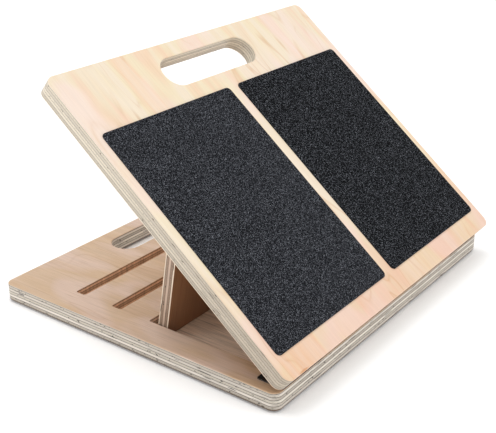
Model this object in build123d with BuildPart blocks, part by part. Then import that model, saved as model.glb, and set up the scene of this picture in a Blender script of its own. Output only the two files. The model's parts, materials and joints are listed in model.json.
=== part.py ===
from build123d import *
import os
from math import cos, radians, sin

# Slant board: a plywood base, a plywood top board hinged along the front edge, and a
# prop board hinged under the top board, whose foot stands in one of three places in the
# base. All sizes are millimetres. +X runs along the hinge line, +Y from the hinge edge
# to the handles and +Z up. The origin is on the floor, at the centre of the footprint.

# ---- driving dimensions ----
board_width = 400.0  # along the hinge line
board_length = 340.0  # from the hinge edge to the handle edge
board_thick = 18.0
board_corner = 9.0
edge_round = 1.0  # eased edges of the two boards

tilt = 39.0  # angle of the top board above the base
prop_lean = 9.6  # lean of the prop board from upright, with its foot to the rear

handle_length = 142.0
handle_width = 35.0
handle_centre = 305.5  # from the hinge edge, in both boards

slot_length = 341.0
slot_width = 12.5
slot_corner = 2.5
slot_depth = 13.0
slot_pitch = 49.0
first_slot_rear = 266.7  # rear edge of the slot nearest the handle, from the hinge edge
slot_count = 2
recess_front = 44.0  # the pocket that takes the folded prop board
recess_rear = first_slot_rear - slot_count * slot_pitch

prop_thick = 12.0
prop_width = 336.0
prop_pin_distance = 162.5  # prop hinge pin from the front hinge pin, along the top board
prop_top_bevel = 40.0  # the bevelled end lies on the underside when the prop is wide open
prop_top_start = -0.5  # bevel's tip, along the prop board from its pin
prop_edge_round = 0.8
prop_foot_round = 2.0
foot_clearance = 0.3  # between the prop's foot and the pocket's floor

pad_width = 183.0
pad_length = 247.0
pad_thick = 1.0
pad_corner = 5.0
pad_gap = 14.0  # between the two pads
pad_front_margin = 22.5
pad_edge_round = 0.3

rubber_foot_radius = 10.0
rubber_foot_height = 2.0
rubber_foot_chamfer = 0.5
rubber_foot_inset_x = 26.0
rubber_foot_inset_y = 28.0

# ---- hinge sections, shared by the front hinges and the prop hinges ----
leaf_thick = 1.0
half_gap = 1.7  # from a hinge pin to the board on either side, when folded
knuckle_radius = 1.6
pin_radius = 0.75
pin_clearance = 0.05
pin_head_radius = 1.3
pin_head_thick = 0.6
knuckle_count = 5
knuckle_play = 0.15
leaf_setback = 2.0  # plate edge from the pin, beside the other leaf's knuckles
leaf_corner = 2.0
leaf_lap = 0.2  # overlap of each knuckle's tab with its plate

front_hinge_length = 60.0
front_leaf_width = 27.8
front_hinge_x = 159.0
front_pin_inset = 1.0  # pin behind the front faces of the boards
prop_hinge_length = 40.0
prop_leaf_width = 18.0
prop_hinge_x = 95.0

# ---- countersunk wood screws ----
screw_radius = 1.5
screw_head_radius = 2.6
screw_tip = 2.5
long_screw = 13.0
short_screw = 9.0
screw_fit = 0.05
drive_length = 3.0
drive_width = 0.6
drive_depth = 0.7

# ---- places that follow from the dimensions ----
base_bottom = rubber_foot_height
base_top = base_bottom + board_thick
pocket_floor = base_top - slot_depth
tilt_sin = sin(radians(tilt))
tilt_cos = cos(radians(tilt))
lean_sin = sin(radians(prop_lean))
lean_cos = cos(radians(prop_lean))

# The top board's upper front edge overhangs the base, and the footprint counts it.
edge_y = edge_round - front_pin_inset
edge_z = half_gap + board_thick - edge_round
front_reach = edge_z * tilt_sin - edge_y * tilt_cos + edge_round - front_pin_inset
hinge_edge = (front_reach - board_length) / 2

front_pin = Vector(0, hinge_edge + front_pin_inset, base_top + half_gap)
base_frame = Plane(origin=front_pin, x_dir=(1, 0, 0), z_dir=(0, 0, 1))
top_frame = Plane(origin=front_pin, x_dir=(1, 0, 0), z_dir=(0, -tilt_sin, tilt_cos))
prop_pin = top_frame.from_local_coords(Vector(0, prop_pin_distance, 0))
prop_frame = Plane(origin=prop_pin, x_dir=(1, 0, 0), z_dir=(0, lean_cos, lean_sin))

# The foot's rounded front edge is its lowest line, just above the pocket's floor.
foot_drop = prop_pin.Z - pocket_floor - foot_clearance - prop_foot_round
foot_drop = foot_drop + (half_gap + prop_foot_round) * lean_sin
prop_length = prop_foot_round + foot_drop / lean_cos

board_mid = board_length / 2 - front_pin_inset  # along a board's frame, from its pin
handle_mid = handle_centre - front_pin_inset

# Each leaf's own frame: x along the pin, y away from the pin over the board that it is
# screwed to, z from that board towards the pin.
base_leaf_frame = base_frame
top_leaf_frame = Plane(origin=front_pin, x_dir=(-1, 0, 0), z_dir=-top_frame.z_dir)
board_leaf_frame = Plane(origin=prop_pin, x_dir=(1, 0, 0), z_dir=-top_frame.z_dir)
prop_leaf_frame = Plane(origin=prop_pin, x_dir=(-1, 0, 0), z_dir=-prop_frame.z_dir)

front_screw_spots = [(-22.0, 10.0), (0.0, 20.0), (22.0, 10.0)]
prop_screw_spots = [(-12.0, 10.5), (12.0, 10.5)]


def shifted(frame, x):
    """The same frame, moved along the hinge line to x."""
    return Plane(origin=frame.origin + Vector(x, 0, 0), x_dir=frame.x_dir, z_dir=frame.z_dir)


def across(frame, x):
    """A plane square to the pin, x along it from the frame's origin."""
    return Plane(
        origin=frame.origin + frame.x_dir * x, x_dir=frame.y_dir, z_dir=frame.x_dir
    )


def hinge_leaf(frame, length, width, outer_knuckles, spots):
    """A leaf: a plate with countersunk holes, and its share of the barrel."""
    pitch = length / knuckle_count
    first = 0 if outer_knuckles else 1
    centres = [(i + 0.5) * pitch - length / 2 for i in range(first, knuckle_count, 2)]
    with BuildPart() as leaf:
        with BuildSketch(frame.offset(-half_gap)):
            with Locations((0, (leaf_setback + width) / 2)):
                Rectangle(length, width - leaf_setback)
            with Locations(*[(centre, leaf_setback / 2) for centre in centres]):
                Rectangle(pitch - knuckle_play, leaf_setback + leaf_lap)
        extrude(amount=leaf_thick)
        far_side = leaf.faces().sort_by(Axis(frame.origin, frame.y_dir))[-1]
        fillet(far_side.edges().filter_by(Axis(frame.origin, frame.z_dir)), leaf_corner)
        for centre in centres:
            with BuildSketch(across(frame, centre - (pitch - knuckle_play) / 2)):
                Circle(knuckle_radius)
            extrude(amount=pitch - knuckle_play)
        with BuildSketch(across(frame, -length / 2)):
            Circle(pin_radius + pin_clearance)
        extrude(amount=length, mode=Mode.SUBTRACT)
        with Locations(frame.offset(leaf_thick - half_gap)):
            with Locations(*spots):
                CounterSinkHole(
                    screw_radius + screw_fit,
                    screw_head_radius + screw_fit,
                    leaf_thick,
                    counter_sink_angle=90,
                )
    return leaf


def hinge_pin(frame, length):
    """A plain pin with a flat riveted head at each end."""
    with BuildPart() as pin:
        with BuildSketch(across(frame, -length / 2 - pin_clearance)):
            Circle(pin_radius)
        extrude(amount=length + 2 * pin_clearance)
        for start in (-length / 2 - pin_clearance - pin_head_thick, length / 2 + pin_clearance):
            with BuildSketch(across(frame, start)):
                Circle(pin_head_radius)
            extrude(amount=pin_head_thick)
    return pin


def screw_set(frames, spots, length):
    """Countersunk screws, each with a cross drive, heads level with their leaf."""
    with BuildPart() as screws:
        for frame in frames:
            face = frame.offset(leaf_thick - half_gap)
            for x, y in spots:
                head = face.from_local_coords(Vector(x, y, 0))
                half_section = Plane(origin=head, x_dir=frame.x_dir, z_dir=-frame.y_dir)
                neck = screw_radius - screw_head_radius
                with BuildSketch(half_section):
                    with BuildLine():
                        Polyline(
                            (0, 0),
                            (screw_head_radius, 0),
                            (screw_radius, neck),
                            (screw_radius, screw_tip - length),
                            (0, -length),
                            close=True,
                        )
                    make_face()
                revolve(axis=Axis(head, frame.z_dir))
                drive = Plane(origin=head, x_dir=frame.x_dir, z_dir=frame.z_dir)
                with BuildSketch(drive.offset(-drive_depth)):
                    Rectangle(drive_length, drive_width)
                    Rectangle(drive_width, drive_length)
                extrude(amount=drive_depth, mode=Mode.SUBTRACT)
    return screws


def pilot_holes(frames, spots, depth):
    """Holes for the screws, drilled into the board under each leaf."""
    for frame in frames:
        with Locations(frame.offset(-half_gap)):
            with Locations(*spots):
                Hole(screw_head_radius - leaf_thick + screw_fit, depth)


def ease_faces(board, direction):
    """Round the outer edges and the hand hole's edges on both faces of a board."""
    faces = board.faces().sort_by(Axis((0, 0, 0), direction))
    fillet(faces[0].edges() + faces[-1].edges(), edge_round)


sides = {"left": -1, "right": 1}
base_leaf_frames = [shifted(base_leaf_frame, s * front_hinge_x) for s in sides.values()]
top_leaf_frames = [shifted(top_leaf_frame, s * front_hinge_x) for s in sides.values()]
board_leaf_frames = [shifted(board_leaf_frame, s * prop_hinge_x) for s in sides.values()]
prop_leaf_frames = [shifted(prop_leaf_frame, s * prop_hinge_x) for s in sides.values()]

# ---- base board: hand hole, two slots and the pocket for the prop board ----
with BuildPart() as base_board:
    with BuildSketch(base_frame.offset(-half_gap - board_thick)):
        with Locations((0, board_mid)):
            RectangleRounded(board_width, board_length, board_corner)
        with Locations((0, handle_mid)):
            SlotOverall(handle_length, handle_width, mode=Mode.SUBTRACT)
    extrude(amount=board_thick)
    ease_faces(base_board, (0, 0, 1))
    with BuildSketch(base_frame.offset(-half_gap - slot_depth)):
        for slot in range(slot_count):
            slot_rear = first_slot_rear - slot * slot_pitch - front_pin_inset
            with Locations((0, slot_rear - slot_width / 2)):
                RectangleRounded(slot_length, slot_width, slot_corner)
        recess_mid = (recess_front + recess_rear) / 2 - front_pin_inset
        with Locations((0, recess_mid)):
            RectangleRounded(slot_length, recess_rear - recess_front, slot_corner)
    extrude(amount=slot_depth, mode=Mode.SUBTRACT)
    pilot_holes(base_leaf_frames, front_screw_spots, long_screw)
base_board.part.label = "base_board"

# ---- top board: hand hole and smooth faces ----
with BuildPart() as top_board:
    with BuildSketch(top_frame.offset(half_gap)):
        with Locations((0, board_mid)):
            RectangleRounded(board_width, board_length, board_corner)
        with Locations((0, handle_mid)):
            SlotOverall(handle_length, handle_width, mode=Mode.SUBTRACT)
    extrude(amount=board_thick)
    ease_faces(top_board, top_frame.z_dir)
    pilot_holes(top_leaf_frames, front_screw_spots, long_screw)
    pilot_holes(board_leaf_frames, prop_screw_spots, long_screw)
top_board.part.label = "top_board"

# ---- prop board: bevelled at the hinge, rounded at the foot ----
bevel_run = prop_thick * sin(radians(prop_top_bevel)) / cos(radians(prop_top_bevel))
with BuildPart() as prop_board:
    with BuildSketch(across(prop_frame, -prop_width / 2)):
        with BuildLine():
            Polyline(
                (prop_top_start, half_gap),
                (prop_length, half_gap),
                (prop_length, half_gap + prop_thick),
                (prop_top_start + bevel_run, half_gap + prop_thick),
                close=True,
            )
        make_face()
    extrude(amount=prop_width)
    long_edges = prop_board.edges().filter_by(Axis.X).sort_by(Axis(prop_pin, prop_frame.y_dir))
    fillet(long_edges[-2:], prop_foot_round)
    fillet(long_edges[:2], prop_edge_round / 2)
    pilot_holes(prop_leaf_frames, prop_screw_spots, short_screw)
prop_board.part.label = "prop_board"

# ---- grip pads, one for each foot ----
grip_pads = {}
for side, sign in sides.items():
    with BuildPart() as pad:
        with BuildSketch(top_frame.offset(half_gap + board_thick)):
            pad_x = sign * (pad_gap + pad_width) / 2
            with Locations((pad_x, pad_front_margin + pad_length / 2 - front_pin_inset)):
                RectangleRounded(pad_width, pad_length, pad_corner)
        extrude(amount=pad_thick)
        pad_top = pad.faces().sort_by(Axis((0, 0, 0), top_frame.z_dir))[-1]
        fillet(pad_top.edges(), pad_edge_round)
    pad.part.label = "grip_pad_" + side
    grip_pads[side] = pad

# ---- hinges: two along the front edge and two on the prop board ----
hinges = {}
front_size = (front_hinge_length, front_leaf_width)
prop_size = (prop_hinge_length, prop_leaf_width)
for number, side in enumerate(sides):
    base_leaf = base_leaf_frames[number]
    top_leaf = top_leaf_frames[number]
    name = "front_hinge_" + side
    hinges[name + "_base_leaf"] = hinge_leaf(base_leaf, *front_size, True, front_screw_spots)
    hinges[name + "_top_leaf"] = hinge_leaf(top_leaf, *front_size, False, front_screw_spots)
    hinges[name + "_pin"] = hinge_pin(base_leaf, front_hinge_length)
    board_leaf = board_leaf_frames[number]
    prop_leaf = prop_leaf_frames[number]
    name = "prop_hinge_" + side
    hinges[name + "_board_leaf"] = hinge_leaf(board_leaf, *prop_size, True, prop_screw_spots)
    hinges[name + "_prop_leaf"] = hinge_leaf(prop_leaf, *prop_size, False, prop_screw_spots)
    hinges[name + "_pin"] = hinge_pin(board_leaf, prop_hinge_length)
for name, piece in hinges.items():
    piece.part.label = name

# ---- screws, one set for each row of leaves ----
screws = {
    "base_leaf_screws": screw_set(base_leaf_frames, front_screw_spots, long_screw),
    "top_leaf_screws": screw_set(top_leaf_frames, front_screw_spots, long_screw),
    "board_leaf_screws": screw_set(board_leaf_frames, prop_screw_spots, long_screw),
    "prop_leaf_screws": screw_set(prop_leaf_frames, prop_screw_spots, short_screw),
}
for name, piece in screws.items():
    piece.part.label = name

# ---- rubber feet under the base ----
rubber_feet = {}
foot_y = {
    "front": hinge_edge + rubber_foot_inset_y,
    "rear": hinge_edge + board_length - rubber_foot_inset_y,
}
for row, y in foot_y.items():
    for side, sign in sides.items():
        with BuildPart() as foot:
            with BuildSketch(Plane.XY):
                with Locations((sign * (board_width / 2 - rubber_foot_inset_x), y)):
                    Circle(rubber_foot_radius)
            extrude(amount=rubber_foot_height)
            chamfer(foot.faces().sort_by(Axis.Z)[0].edges(), rubber_foot_chamfer)
        foot.part.label = "rubber_foot_" + row + "_" + side
        rubber_feet[foot.part.label] = foot

# ---- write each piece ----
os.makedirs("parts", exist_ok=True)
export_step(base_board.part, "parts/base_board.step")
export_step(top_board.part, "parts/top_board.step")
export_step(prop_board.part, "parts/prop_board.step")
for side, pad in grip_pads.items():
    export_step(pad.part, "parts/grip_pad_" + side + ".step")
for pieces in (hinges, screws, rubber_feet):
    for name, piece in pieces.items():
        export_step(piece.part, "parts/" + name + ".step")
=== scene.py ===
import bpy
import json
from math import atan2, radians
from mathutils import Euler, Matrix, Vector


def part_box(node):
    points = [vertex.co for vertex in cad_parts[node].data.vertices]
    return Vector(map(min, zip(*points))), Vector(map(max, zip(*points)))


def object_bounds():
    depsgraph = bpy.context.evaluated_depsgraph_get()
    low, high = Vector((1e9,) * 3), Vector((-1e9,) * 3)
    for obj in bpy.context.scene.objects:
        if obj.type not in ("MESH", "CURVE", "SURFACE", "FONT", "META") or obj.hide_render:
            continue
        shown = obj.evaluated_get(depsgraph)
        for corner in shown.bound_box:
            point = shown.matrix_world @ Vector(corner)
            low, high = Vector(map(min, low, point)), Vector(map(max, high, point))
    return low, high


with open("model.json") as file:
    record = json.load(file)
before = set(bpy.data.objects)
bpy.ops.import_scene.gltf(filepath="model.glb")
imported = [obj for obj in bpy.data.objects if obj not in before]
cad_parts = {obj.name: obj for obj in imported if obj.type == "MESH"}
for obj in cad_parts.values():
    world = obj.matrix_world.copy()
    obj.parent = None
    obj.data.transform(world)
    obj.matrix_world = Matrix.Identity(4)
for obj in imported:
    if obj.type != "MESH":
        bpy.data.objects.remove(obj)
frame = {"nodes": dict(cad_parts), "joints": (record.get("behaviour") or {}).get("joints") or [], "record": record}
cad_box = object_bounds()

# The scene is in metres, and the patterns are laid out in millimetres.
MM = 0.001
PER_MM = (1 / MM, 1 / MM, 1 / MM)

# The two hinge lines say how the top board and the prop board stand.
joints = {joint["name"]: joint for joint in frame["joints"]}
front_pin = Vector(joints["board_tilt"]["pos_m"])
prop_pin = Vector(joints["prop_swing"]["pos_m"])
board_run = prop_pin - front_pin
tilt = atan2(board_run.z, board_run.y)
fold_angle = radians(joints["board_tilt"]["range_deg"][1])
prop_angle = tilt + fold_angle  # the prop lies along the top board once it is folded


# ---- material helpers ----
def linear(red, green, blue):
    """A colour given as 0-255 screen values, as Blender's linear values."""
    values = [value / 255 for value in (red, green, blue)]
    return [v / 12.92 if v <= 0.04045 else ((v + 0.055) / 1.055) ** 2.4 for v in values] + [1]


class Material:
    """A node material, with a short way to add nodes and link them."""

    def __init__(self, name):
        self.material = bpy.data.materials.new(name)
        self.material.use_nodes = True
        self.nodes = self.material.node_tree.nodes
        self.links = self.material.node_tree.links
        self.shader = self.nodes["Principled BSDF"]

    def put(self, socket, value):
        """Links a socket to another node's output, or sets its value."""
        if isinstance(value, bpy.types.NodeSocket):
            self.links.new(value, socket)
        else:
            socket.default_value = value

    def add(self, kind, inputs, **settings):
        """Adds a shader node, with its settings and what goes into its sockets."""
        node = self.nodes.new("ShaderNode" + kind)
        for name, value in settings.items():
            setattr(node, name, value)
        for name, value in inputs.items():
            self.put(node.inputs[name], value)
        return node

    def math(self, operation, first, second=0.0, third=0.0):
        inputs = {0: first, 1: second, 2: third}
        return self.add("Math", inputs, operation=operation).outputs[0]

    def vector(self, operation, first, second):
        node = self.add("VectorMath", {0: first, 1: second}, operation=operation)
        return node.outputs[0]

    def stretch(self, place, scale):
        return self.vector("MULTIPLY", place, scale)

    def turn(self, vector, angle):
        """A vector turned about the X axis."""
        inputs = {"Vector": vector, "Angle": angle}
        return self.add("VectorRotate", inputs, rotation_type="X_AXIS").outputs[0]

    def part(self, vector, index):
        """One number of a vector: 0, 1 or 2 for X, Y or Z."""
        return self.add("SeparateXYZ", {0: vector}).outputs[index]

    def place(self):
        """The piece's own coordinates, in millimetres."""
        return self.stretch(self.add("TexCoord", {}).outputs["Object"], PER_MM)

    def noise(self, place, detail=2.0, roughness=0.5, distortion=0.0, scale=1.0):
        inputs = {
            "Vector": place,
            "Scale": scale,
            "Detail": detail,
            "Roughness": roughness,
            "Distortion": distortion,
        }
        return self.add("TexNoise", inputs).outputs[0]

    def ramp(self, factor, stops, interpolation="LINEAR"):
        """A colour or grey ramp. Each stop is a place from 0 to 1 and its colour or grey."""
        node = self.add("ValToRGB", {0: factor})
        ramp = node.color_ramp
        ramp.interpolation = interpolation
        while len(ramp.elements) < len(stops):
            ramp.elements.new(1.0)
        for element, (position, colour) in zip(ramp.elements, stops):
            element.position = position
        for element, (position, colour) in zip(ramp.elements, stops):
            element.color = colour if isinstance(colour, list) else [colour] * 3 + [1]
        return node.outputs[0]

    def mix(self, factor, first, second, blend="MIX"):
        node = self.add("Mix", {}, data_type="RGBA", blend_type=blend)
        self.put(node.inputs[0], factor)
        self.put(node.inputs[6], first)
        self.put(node.inputs[7], second)
        return node.outputs[2]

    def tint(self, factor, colour, tone):
        """A colour multiplied by a tone, as far as the factor says."""
        return self.mix(factor, colour, tone, "MULTIPLY")

    def bump(self, height, distance, strength=1.0):
        inputs = {"Height": height, "Distance": distance, "Strength": strength}
        self.put(self.shader.inputs["Normal"], self.add("Bump", inputs).outputs[0])

    def finish(self, colour, roughness, **fixed):
        """The shader's colour and roughness, and plain values for its other sockets."""
        self.put(self.shader.inputs["Base Color"], colour)
        self.put(self.shader.inputs["Roughness"], roughness)
        for name, value in fixed.items():
            self.put(self.shader.inputs[name.replace("_", " ")], value)
        return self.material


# ---- plywood ----
# A board's pattern is solid, so its cut edges, slots and holes show the plies. It is laid
# out in the board's own frame, in millimetres: X across the board, Y from the hinge edge to
# the handle, and Z up through its thickness. The triples that stretch it before a noise are
# roughly the number of waves in a millimetre, along each axis.
def board_span(node, angle):
    """A board's lowest and highest corners in its own frame, turned flat about the X axis."""
    flat = Matrix.Rotation(-angle, 3, "X")
    places = [flat @ vertex.co for vertex in frame["nodes"][node].data.vertices]
    low = Vector([min(place[i] for place in places) for i in range(3)])
    high = Vector([max(place[i] for place in places) for i in range(3)])
    return low, high


def ply_edges(thickness, count, face):
    """Heights of the glue lines, for a board with thin face veneers and even inner plies."""
    inner = (thickness - 2 * face) / (count - 2)
    return [face + i * inner for i in range(count - 1)]


def ply_stops(thickness, edges, plies, glue, glue_half):
    """Ramp stops up through a board: each ply's colour, with a glue line between plies."""
    stops = [(0.0, plies[0])]
    for number, edge in enumerate(edges):
        stops.append(((edge - glue_half) / thickness, plies[number]))
        stops.append((edge / thickness, glue))
        stops.append(((edge + glue_half) / thickness, plies[number + 1]))
    stops.append((1.0, plies[-1]))
    return stops


def stacked_plies(m, height, moved, thickness, count, look):
    """The plies, with slightly wavy glue lines: their colour, and 1 in every cross ply."""
    wave = m.noise(m.stretch(moved, (0.018, 0.018, 0.0)), detail=2.0)
    lift = m.math("MULTIPLY", m.math("SUBTRACT", wave, 0.5), look["ply_wave"])
    level = m.math("DIVIDE", m.math("ADD", height, lift), thickness)
    edges = ply_edges(thickness, count, look["face_thickness"])
    plies = [look["plies"][i % len(look["plies"])] for i in range(count)]
    stops = ply_stops(thickness, edges, plies, look["glue"], look["glue_half"])
    steps = [(0.0, 0.0)]
    steps += [(edge / thickness, float((i + 1) % 2)) for i, edge in enumerate(edges)]
    return m.ramp(level, stops), m.ramp(level, steps, "CONSTANT")


def ply_fibres(m, moved, is_cross):
    """Fibres that run along Y in the face veneers, and along X in the cross plies."""
    long_fibre = m.noise(m.stretch(moved, (0.9, 0.030, 1.5)), detail=4.0, roughness=0.62)
    cross_fibre = m.noise(m.stretch(moved, (0.030, 0.9, 1.5)), detail=4.0, roughness=0.62)
    return m.mix(is_cross, long_fibre, cross_fibre)


def across_fibres(m, facing, is_cross):
    """1 where a ply is cut across its fibres, 0 where it is cut along them."""
    sideways = m.math("ABSOLUTE", m.part(facing, 0))
    endways = m.math("ABSOLUTE", m.part(facing, 1))
    return m.mix(is_cross, endways, sideways)


def core_gaps(m, moved, is_cross, start):
    """1 in the small gaps and knots of the inner plies."""
    long_gap = m.noise(m.stretch(moved, (0.30, 0.040, 0.60)), detail=1.0)
    cross_gap = m.noise(m.stretch(moved, (0.040, 0.20, 0.60)), detail=1.0)
    return m.ramp(m.mix(is_cross, long_gap, cross_gap), [(start, 0.0), (start + 0.02, 1.0)])


def routed_part(m, own, along, routing):
    """1 in the part of the board that holds the slots and the pocket."""
    start, end = routing["from_to"]
    inside = m.math("COMPARE", along, (start + end) / 2, (end - start) / 2)
    side = m.math("ABSOLUTE", m.part(own, 0))
    return m.math("MULTIPLY", inside, m.math("LESS_THAN", side, routing["half_width"] * MM))


def router_tone(m, along, moved, routing):
    """What the router does to the wood: it browns the slots, leaves the pocket greyer and
    paler, and streaks both."""
    in_pocket = m.math("LESS_THAN", along, routing["pocket_end"])
    tone = m.mix(in_pocket, routing["slot_tone"], routing["pocket_tone"])
    rough = m.noise(m.stretch(moved, (0.26, 0.014, 0.0)), detail=3.0, roughness=0.6)
    return m.tint(1.0, tone, m.ramp(rough, [(0.30, 0.66), (0.50, 1.0), (0.72, 1.22)]))


def face_veneer(m, moved, hair, look):
    """The peeled face veneer: broad soft bands, pale patches, thin wavy veins, streaks,
    pores and fine hairs, all along the grain."""
    drift = m.noise(m.stretch(moved, (0.030, 0.0036, 0.0)), detail=3.0, distortion=0.4)
    shades = look["figure"]
    spread = [(0.30 + 0.40 * i / (len(shades) - 1), shade) for i, shade in enumerate(shades)]
    veneer = m.ramp(drift, spread)

    cloud = m.noise(m.stretch(moved, (0.016, 0.0085, 0.0)), detail=2.0, distortion=0.6)
    patch = m.ramp(cloud, [(look["patch_start"], 0.0), (look["patch_start"] + 0.11, 1.0)])
    veneer = m.mix(m.math("MULTIPLY", patch, look["patch_strength"]), veneer, look["patch"])

    growth = m.noise(m.stretch(moved, (0.022, 0.0044, 0.0)), detail=1.5, distortion=1.1)
    line = m.math("PINGPONG", m.math("MULTIPLY", growth, 6.0), 0.5)
    vein = m.ramp(line, [(0.0, 1.0), (0.03, 0.55), (0.12, 0.0)])
    where = m.ramp(m.noise(m.stretch(moved, (0.009, 0.0060, 0.0))), [(0.46, 0.0), (0.62, 1.0)])
    vein = m.math("MULTIPLY", m.math("MULTIPLY", vein, where), look["vein_strength"])
    veneer = m.mix(vein, veneer, look["vein"])

    streak = m.noise(m.stretch(moved, (0.34, 0.010, 0.0)), detail=2.0, roughness=0.6)
    streak_tone = m.ramp(streak, [(0.30, 0.88), (0.52, 1.0), (0.74, 1.05)])
    veneer = m.tint(look["streak_strength"], veneer, streak_tone)

    pore = m.noise(m.stretch(moved, (0.80, 0.024, 0.0)), detail=2.0, roughness=0.55)
    pore = m.ramp(pore, [(0.60, 0.0), (0.70, look["pore_strength"])])
    veneer = m.mix(pore, veneer, look["vein"])

    hair_tone = m.ramp(hair, [(0.3, 0.84), (0.55, 1.0), (0.8, 1.06)])
    return m.tint(look["hair_strength"], veneer, hair_tone)


def mineral_mark(m, board, moved, centre, spread):
    """How strongly a short dark mark shows, round one place of the board's upper face."""
    offset = m.stretch(m.vector("SUBTRACT", board, centre), spread)
    distance = m.add("VectorMath", {0: offset}, operation="LENGTH").outputs["Value"]
    blot = m.noise(m.stretch(moved, (0.45, 0.45, 0.0)), detail=3.0)
    depth = m.math("SUBTRACT", m.math("ADD", blot, 0.4), distance)
    return m.ramp(depth, [(0.0, 0.0), (0.5, 0.8)])


def plywood(name, node, angle, look, count, seed, routing=None, mark=None):
    """Veneered plywood for one board: the angle that it stands at, its number of plies, and
    a seed that moves its pattern along."""
    m = Material(name)
    low, high = board_span(node, angle)
    thickness = (high.z - low.z) / MM
    own = m.add("TexCoord", {}).outputs
    flat = m.vector("SUBTRACT", m.turn(own["Object"], -angle), (0.0, low.y, low.z))
    board = m.stretch(flat, PER_MM)
    moved = m.vector("ADD", board, (seed, seed * 1.7, 0.0))
    along = m.part(board, 1)
    height = m.part(board, 2)

    # the core: plies, fibres, end grain, what the router cut, gaps, and painted shade that darkens the cut edges
    # toward the hinge end
    ply_colour, is_cross = stacked_plies(m, height, moved, thickness, count, look)
    fibre = ply_fibres(m, moved, is_cross)
    fibre_tone = m.ramp(fibre, [(0.30, 0.60), (0.46, 0.95), (0.72, 1.12)])
    core = m.tint(look["fibre_strength"], ply_colour, fibre_tone)
    facing = m.turn(own["Normal"], -angle)
    core = m.tint(across_fibres(m, facing, is_cross), core, look["end_grain"])
    gap = core_gaps(m, moved, is_cross, look["gap_start"])
    if routing:
        inside = routed_part(m, own["Object"], along, routing)
        core = m.tint(inside, core, router_tone(m, along, moved, routing))
        gap = m.math("MULTIPLY", gap, m.math("SUBTRACT", 1.0, inside))
    core = m.mix(m.math("MULTIPLY", gap, 0.85), core, look["gap"])
    share = m.math("DIVIDE", along, (high.y - low.y) / MM)
    # painted shade: the cut edges darken toward the hinge edge, where the base and the floor shade them
    core = m.tint(m.ramp(share, [(0.12, 1.0), (0.72, 0.0)]), core, look["painted_shade_hinge_edge_tone"])

    # the face veneers: warmer and darker toward the hinge edge, partly their own tone and partly painted shade,
    # and with a tone underneath that is a painted shadow line on the base and lifts the prop's rear face out of
    # painted shade
    hair = m.noise(m.stretch(moved, (2.0, 0.022, 0.0)), detail=3.0, roughness=0.7)
    veneer = face_veneer(m, moved, hair, look)
    # warmer and darker toward the hinge edge: partly the veneer's own warmer tone, partly painted shade
    veneer = m.tint(m.ramp(share, [(0.02, 1.0), (0.34, 0.0)]), veneer, look["hinge_warmth_and_painted_shade"])
    is_top = m.math("GREATER_THAN", height, thickness - look["skin"])
    is_low = m.math("LESS_THAN", height, look["low_skin"])
    is_face = m.math("MAXIMUM", is_top, is_low)
    # the lower face's tone: on the base it paints a dark shadow line along the lower edge
    colour = m.mix(is_face, core, m.tint(is_low, veneer, look["low_face_tone_and_painted_shade"]))
    if mark:
        across, from_hinge = mark["at"]
        centre = (low.x / MM + across, from_hinge, thickness)
        stain = mineral_mark(m, board, moved, centre, mark["spread"])
        colour = m.mix(m.math("MULTIPLY", stain, is_face), colour, mark["colour"])

    relief = m.mix(is_face, fibre, hair)
    open_gap = m.math("MULTIPLY", gap, m.math("SUBTRACT", 1.0, is_face))
    m.bump(m.math("SUBTRACT", relief, open_gap), look["relief"], 0.6)
    roughness = m.ramp(relief, [(0.3, look["roughness"] + 0.08), (0.7, look["roughness"] - 0.05)])
    return m.finish(colour, roughness, IOR=1.45, Coat_Weight=0.12, Coat_Roughness=0.35)


# How each board looks. "face_thickness", "skin", "low_skin", "ply_wave" and "glue_half" are
# in millimetres, and "relief", the depth of the bump, is in metres. "skin" and "low_skin" are
# how far the veneer's colour reaches in from the upper and the lower face. A tone multiplies
# the colour that it meets.
top_look = {
    "face_thickness": 1.8,
    "skin": 0.9,
    "low_skin": 0.9,
    "ply_wave": 0.7,
    "plies": [linear(230, 219, 200), linear(206, 195, 178), linear(222, 211, 192)],
    "end_grain": [0.90, 0.89, 0.88, 1.0],
    "glue": linear(96, 80, 66),
    "glue_half": 0.32,
    "fibre_strength": 0.85,
    "gap": linear(60, 42, 30),
    "gap_start": 0.72,
    "figure": [
        linear(229, 198, 173),
        linear(227, 209, 182),
        linear(229, 214, 192),
        linear(228, 212, 181),
        linear(229, 200, 170),
        linear(230, 211, 191),
    ],
    "patch": linear(233, 210, 201),
    "patch_start": 0.50,
    "patch_strength": 0.58,
    # the hinge-edge strip's own peach tone, darkened further with painted shade
    "hinge_warmth_and_painted_shade": [0.94, 0.82, 0.77, 1.0],
    # painted shade on the cut edges toward the hinge edge
    "painted_shade_hinge_edge_tone": [0.74, 0.71, 0.69, 1.0],
    "low_face_tone_and_painted_shade": [0.96, 0.94, 0.92, 1.0],
    "vein": linear(204, 158, 108),
    "vein_strength": 0.46,
    "pore_strength": 0.12,
    "streak_strength": 0.25,
    "hair_strength": 0.35,
    "relief": 0.00010,
    "roughness": 0.48,
}
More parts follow.
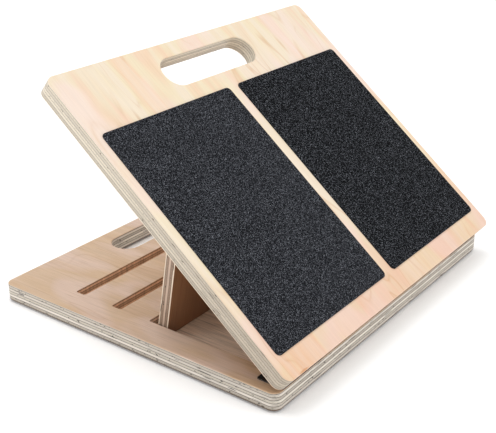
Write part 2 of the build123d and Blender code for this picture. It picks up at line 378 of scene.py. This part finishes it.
base_look = {
    "face_thickness": 1.3,
    "skin": 0.7,
    # wide, so that the lower band's painted shadow line shows
    "low_skin": 1.5,
    "ply_wave": 0.9,
    "plies": [linear(233, 225, 212), linear(212, 203, 191), linear(227, 218, 206)],
    "end_grain": [0.72, 0.70, 0.67, 1.0],
    "glue": linear(52, 42, 36),
    "glue_half": 0.50,
    "fibre_strength": 0.95,
    "gap": linear(40, 30, 25),
    "gap_start": 0.66,
    "figure": [
        linear(194, 163, 133),
        linear(200, 171, 141),
        linear(204, 177, 150),
        linear(201, 172, 140),
        linear(195, 165, 138),
        linear(203, 175, 146),
    ],
    "patch": linear(213, 189, 175),
    "patch_start": 0.47,
    "patch_strength": 0.7,
    "hinge_warmth_and_painted_shade": [0.96, 0.94, 0.93, 1.0],
    "painted_shade_hinge_edge_tone": [0.95, 0.95, 0.95, 1.0],
    # dark: a painted shadow line along the base's lower edge
    "low_face_tone_and_painted_shade": [0.24, 0.22, 0.21, 1.0],
    "vein": linear(168, 128, 92),
    "vein_strength": 0.55,
    "pore_strength": 0.45,
    "streak_strength": 0.7,
    "hair_strength": 0.8,
    "relief": 0.00014,
    "roughness": 0.52,
}
prop_look = dict(base_look)
prop_look.update({
    "face_thickness": 1.6,
    "skin": 0.25,
    "low_skin": 0.25,
    "plies": [
        linear(238, 220, 198),
        linear(180, 154, 133),
        linear(200, 174, 154),
        linear(172, 146, 125),
        linear(238, 220, 198),
    ],
    "glue": linear(92, 62, 46),
    "glue_half": 0.30,
    # the prop's front veneer, its patches and veins are painted dark brown: painted shade, as if under the top
    # board
    "figure": [linear(146, 104, 72), linear(154, 110, 77), linear(140, 98, 67)],
    "patch": linear(150, 110, 82),
    # lifts the rear face out of the front face's painted shade
    "low_face_tone_and_painted_shade": [1.6, 1.9, 2.3, 1.0],
    "vein": linear(114, 76, 50),
})

# Millimetres from the base's hinge edge and from its middle line.
base_routing = {
    "from_to": (30.0, 280.0),
    "half_width": 176.0,
    "slot_tone": [1.06, 0.82, 0.67, 1.0],
    "pocket_end": 185.0,
    "pocket_tone": [1.16, 1.02, 0.94, 1.0],
}

# Millimetres from the top board's left side and from its hinge edge.
top_mark = {
    "at": (24.0, 1.0),
    "spread": (0.11, 0.60, 0.0),
    "colour": linear(200, 142, 98),
}


# ---- the anti-slip sheets ----
def grip_sheet(name):
    """Charcoal sheets of sharp grit: every grain has its own tone, a few are bright, and painted shade darkens the
    hollows between the grains.
    The right sheet is a little darker than the left one."""
    m = Material(name)
    place = m.place()
    grains_per_mm = 2.2
    grains = m.add("TexVoronoi", {"Vector": place, "Scale": grains_per_mm}).outputs
    shade = m.part(grains["Color"], 0)
    left_tone = m.ramp(shade, [
        (0.0, linear(7, 7, 9)),
        (0.45, linear(27, 28, 32)),
        (0.75, linear(58, 60, 66)),
        (0.92, linear(114, 117, 125)),
        (1.0, linear(168, 172, 182)),
    ])
    right_tone = m.ramp(shade, [
        (0.0, linear(1, 1, 2)),
        (0.45, linear(4, 5, 6)),
        (0.75, linear(20, 22, 26)),
        (0.92, linear(92, 95, 102)),
        (1.0, linear(176, 180, 190)),
    ])
    is_right = m.math("GREATER_THAN", m.part(place, 0), 0.0)
    colour = m.mix(is_right, left_tone, right_tone)
    # painted shade in the hollows between the grains
    painted_shade_between_grains = m.ramp(grains["Distance"], [(0.25, 1.0), (0.75, 0.45)])
    colour = m.tint(1.0, colour, painted_shade_between_grains)
    clump = m.noise(place, detail=2.0, scale=0.045)
    colour = m.tint(1.0, colour, m.ramp(clump, [(0.35, 0.97), (0.65, 1.03)]))
    m.bump(m.math("SUBTRACT", shade, grains["Distance"]), 0.0004, 0.8)
    roughness = m.ramp(shade, [(0.3, 0.95), (0.95, 0.66)])
    return m.finish(colour, roughness, Specular_IOR_Level=0.06)


# ---- metal and rubber ----
def black_steel(name):
    """Black coat on stamped steel, worn bright along its edges and rubbed in fine marks."""
    m = Material(name)
    place = m.place()
    cloud = m.noise(place, detail=4.0, scale=0.35)
    marks = m.noise(m.stretch(place, (0.08, 2.2, 2.2)), detail=3.0)
    rubbed = m.ramp(marks, [(0.66, 0.0), (0.74, 1.0)])
    colour = m.mix(cloud, linear(10, 9, 8), linear(26, 24, 22))
    colour = m.mix(m.math("MULTIPLY", rubbed, 0.5), colour, linear(110, 104, 96))

    # an edge is where a rounded normal turns away from the real one
    wear_width = 0.6 * MM
    rounded = m.add("Bevel", {"Radius": wear_width}, samples=8).outputs[0]
    normal = m.add("NewGeometry", {}).outputs["Normal"]
    match = m.add("VectorMath", {0: rounded, 1: normal}, operation="DOT_PRODUCT")
    edge = m.ramp(match.outputs["Value"], [(0.80, 1.0), (0.96, 0.0)])
    worn = m.math("MULTIPLY", edge, m.ramp(cloud, [(0.35, 0.35), (0.60, 1.0)]))
    colour = m.mix(worn, colour, linear(186, 182, 176))
    bare = m.math("MAXIMUM", rubbed, worn)
    m.put(m.shader.inputs["Metallic"], m.math("MULTIPLY", bare, 0.7))

    m.bump(m.math("ADD", cloud, m.math("MULTIPLY", marks, 0.3)), 0.00003)
    roughness = m.ramp(cloud, [(0.3, 0.62), (0.7, 0.46)])
    return m.finish(colour, roughness, Specular_IOR_Level=0.3)


def black_oxide(name):
    """Blackened screw heads, with a dark grey shine that shows their crossed slots."""
    m = Material(name)
    place = m.place()
    stain = m.noise(place, detail=3.0, scale=0.9)
    turned = m.noise(m.stretch(place, (3.0, 3.0, 0.4)), detail=2.0)
    colour = m.mix(stain, linear(64, 63, 64), linear(104, 102, 101))
    m.bump(turned, 0.00002)
    return m.finish(colour, m.ramp(stain, [(0.3, 0.46), (0.7, 0.30)]), Metallic=0.9)


def bright_steel(name):
    """Drawn steel rod, with fine rings of wear."""
    m = Material(name)
    place = m.place()
    drawn = m.noise(m.stretch(place, (0.15, 6.0, 6.0)), detail=3.0)
    smear = m.noise(m.stretch(place, (0.8, 0.5, 0.5)), detail=2.0)
    colour = m.mix(smear, linear(112, 110, 108), linear(176, 175, 173))
    m.bump(drawn, 0.00002)
    return m.finish(colour, m.ramp(drawn, [(0.3, 0.42), (0.7, 0.26)]), Metallic=1.0)


def black_rubber(name):
    """Matt moulded rubber with a little dust."""
    m = Material(name)
    place = m.place()
    skin = m.noise(place, detail=4.0, scale=1.4, roughness=0.65)
    dust = m.noise(place, detail=3.0, scale=0.18)
    dusty = m.ramp(dust, [(0.5, 0.0), (0.75, 0.5)])
    colour = m.mix(dusty, linear(26, 25, 25), linear(74, 70, 66))
    m.bump(skin, 0.00008)
    return m.finish(colour, m.ramp(skin, [(0.3, 0.92), (0.7, 0.74)]), IOR=1.5)


materials = {
    "top_plywood": plywood(
        "top_plywood", "top_board", tilt, top_look, count=7, seed=389.0, mark=top_mark
    ),
    "base_plywood": plywood(
        "base_plywood", "base_board", 0.0, base_look, count=7, seed=129.0, routing=base_routing
    ),
    "prop_plywood": plywood(
        "prop_plywood", "prop_board", prop_angle, prop_look, count=5, seed=77.0
    ),
    "grip_surface": grip_sheet("grip_surface"),
    "hinge_leaf_steel": black_steel("hinge_leaf_steel"),
    "screw_steel": black_oxide("screw_steel"),
    "pin_steel": bright_steel("pin_steel"),
    "foot_rubber": black_rubber("foot_rubber"),
}
for subpart in frame["record"]["subparts"]:
    shown = frame["nodes"][subpart["node"]]
    shown.data.materials.clear()
    shown.data.materials.append(materials[subpart["material_slot"]])


# ---- floor ----
def floor_paper(name):
    """Pale paper, with a faint glow of its own that lightens the shadows on it."""
    m = Material(name)
    own = m.add("TexCoord", {}).outputs["Object"]
    tone = m.ramp(m.noise(own, scale=3.0), [(0.3, 0.95), (0.7, 0.97)])
    glow = {"Emission_Color": (1.0, 1.0, 1.0, 1.0), "Emission_Strength": 0.05}
    return m.finish(tone, 0.9, **glow)


floor_half = 6.0
corners = [
    (-floor_half, -floor_half, 0),
    (floor_half, -floor_half, 0),
    (floor_half, floor_half, 0),
    (-floor_half, floor_half, 0),
]
floor_mesh = bpy.data.meshes.new("floor")
floor_mesh.from_pydata(corners, [], [(0, 1, 2, 3)])
floor_mesh.materials.append(floor_paper("floor_paper"))
floor = bpy.data.objects.new("floor", floor_mesh)
floor.location.z = cad_box[0].z
bpy.context.scene.collection.objects.link(floor)


# ---- light ----
def studio_world():
    """An even pale light from all round. Past the floor, the camera sees plain white."""
    world = bpy.data.worlds.new("studio")
    world.use_nodes = True
    nodes = world.node_tree.nodes
    links = world.node_tree.links
    sky = nodes["Background"]
    sky.inputs["Color"].default_value = (1.0, 1.0, 1.0, 1.0)
    sky.inputs["Strength"].default_value = 0.80
    backdrop = nodes.new("ShaderNodeBackground")
    backdrop.inputs["Color"].default_value = (1.0, 1.0, 1.0, 1.0)
    is_seen = nodes.new("ShaderNodeLightPath").outputs["Is Camera Ray"]
    either = nodes.new("ShaderNodeMixShader")
    links.new(is_seen, either.inputs["Fac"])
    links.new(sky.outputs[0], either.inputs[1])
    links.new(backdrop.outputs[0], either.inputs[2])
    links.new(either.outputs[0], nodes["World Output"].inputs[0])
    bpy.context.scene.world = world


def soft_sun(name, azimuth, elevation, spread, strength):
    """A wide, even light. Azimuth 0 comes from in front of the hinge edge."""
    sun = bpy.data.lights.new(name, "SUN")
    sun.angle = radians(spread)
    sun.energy = strength
    lamp = bpy.data.objects.new(name, sun)
    lamp.rotation_euler = Euler((radians(90 - elevation), 0.0, radians(azimuth)))
    bpy.context.scene.collection.objects.link(lamp)


def window_light(name, target, offset, size, power):
    """A square soft box near the object, facing it, so that its light falls off across it."""
    light = bpy.data.lights.new(name, "AREA")
    light.shape = "SQUARE"
    light.size = size
    light.energy = power
    lamp = bpy.data.objects.new(name, light)
    lamp.location = target + Vector(offset)
    lamp.rotation_euler = Vector(offset).to_track_quat("Z", "Y").to_euler()
    bpy.context.scene.collection.objects.link(lamp)


base_low, base_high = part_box("base_board")
base_middle = (base_low + base_high) / 2
studio_world()
soft_sun("front_sun", azimuth=30.0, elevation=66.0, spread=40.0, strength=0.42)
soft_sun("rear_sun", azimuth=-165.0, elevation=76.0, spread=30.0, strength=0.76)
soft_sun("right_fill", azimuth=28.0, elevation=12.0, spread=50.0, strength=0.60)
window_light("rear_left_window", base_middle, offset=(-0.75, 0.45, 0.45), size=0.4, power=1.2)

# ---- camera: low at the left of the hinge edge, looking over the top board ----
camera_azimuth = -53.53
camera_elevation = 23.95
camera_data = bpy.data.cameras.new("camera")
camera_data.sensor_width = 36.0
camera_data.lens = 69.7
camera = bpy.data.objects.new("camera", camera_data)
camera.location = (-0.7534, base_low.y - 0.3796, base_low.z + 0.4796)
camera.rotation_euler = Euler((radians(90 - camera_elevation), 0.0, radians(camera_azimuth)))
bpy.context.scene.collection.objects.link(camera)
bpy.context.scene.camera = camera
bpy.context.scene.view_settings.view_transform = "Standard"
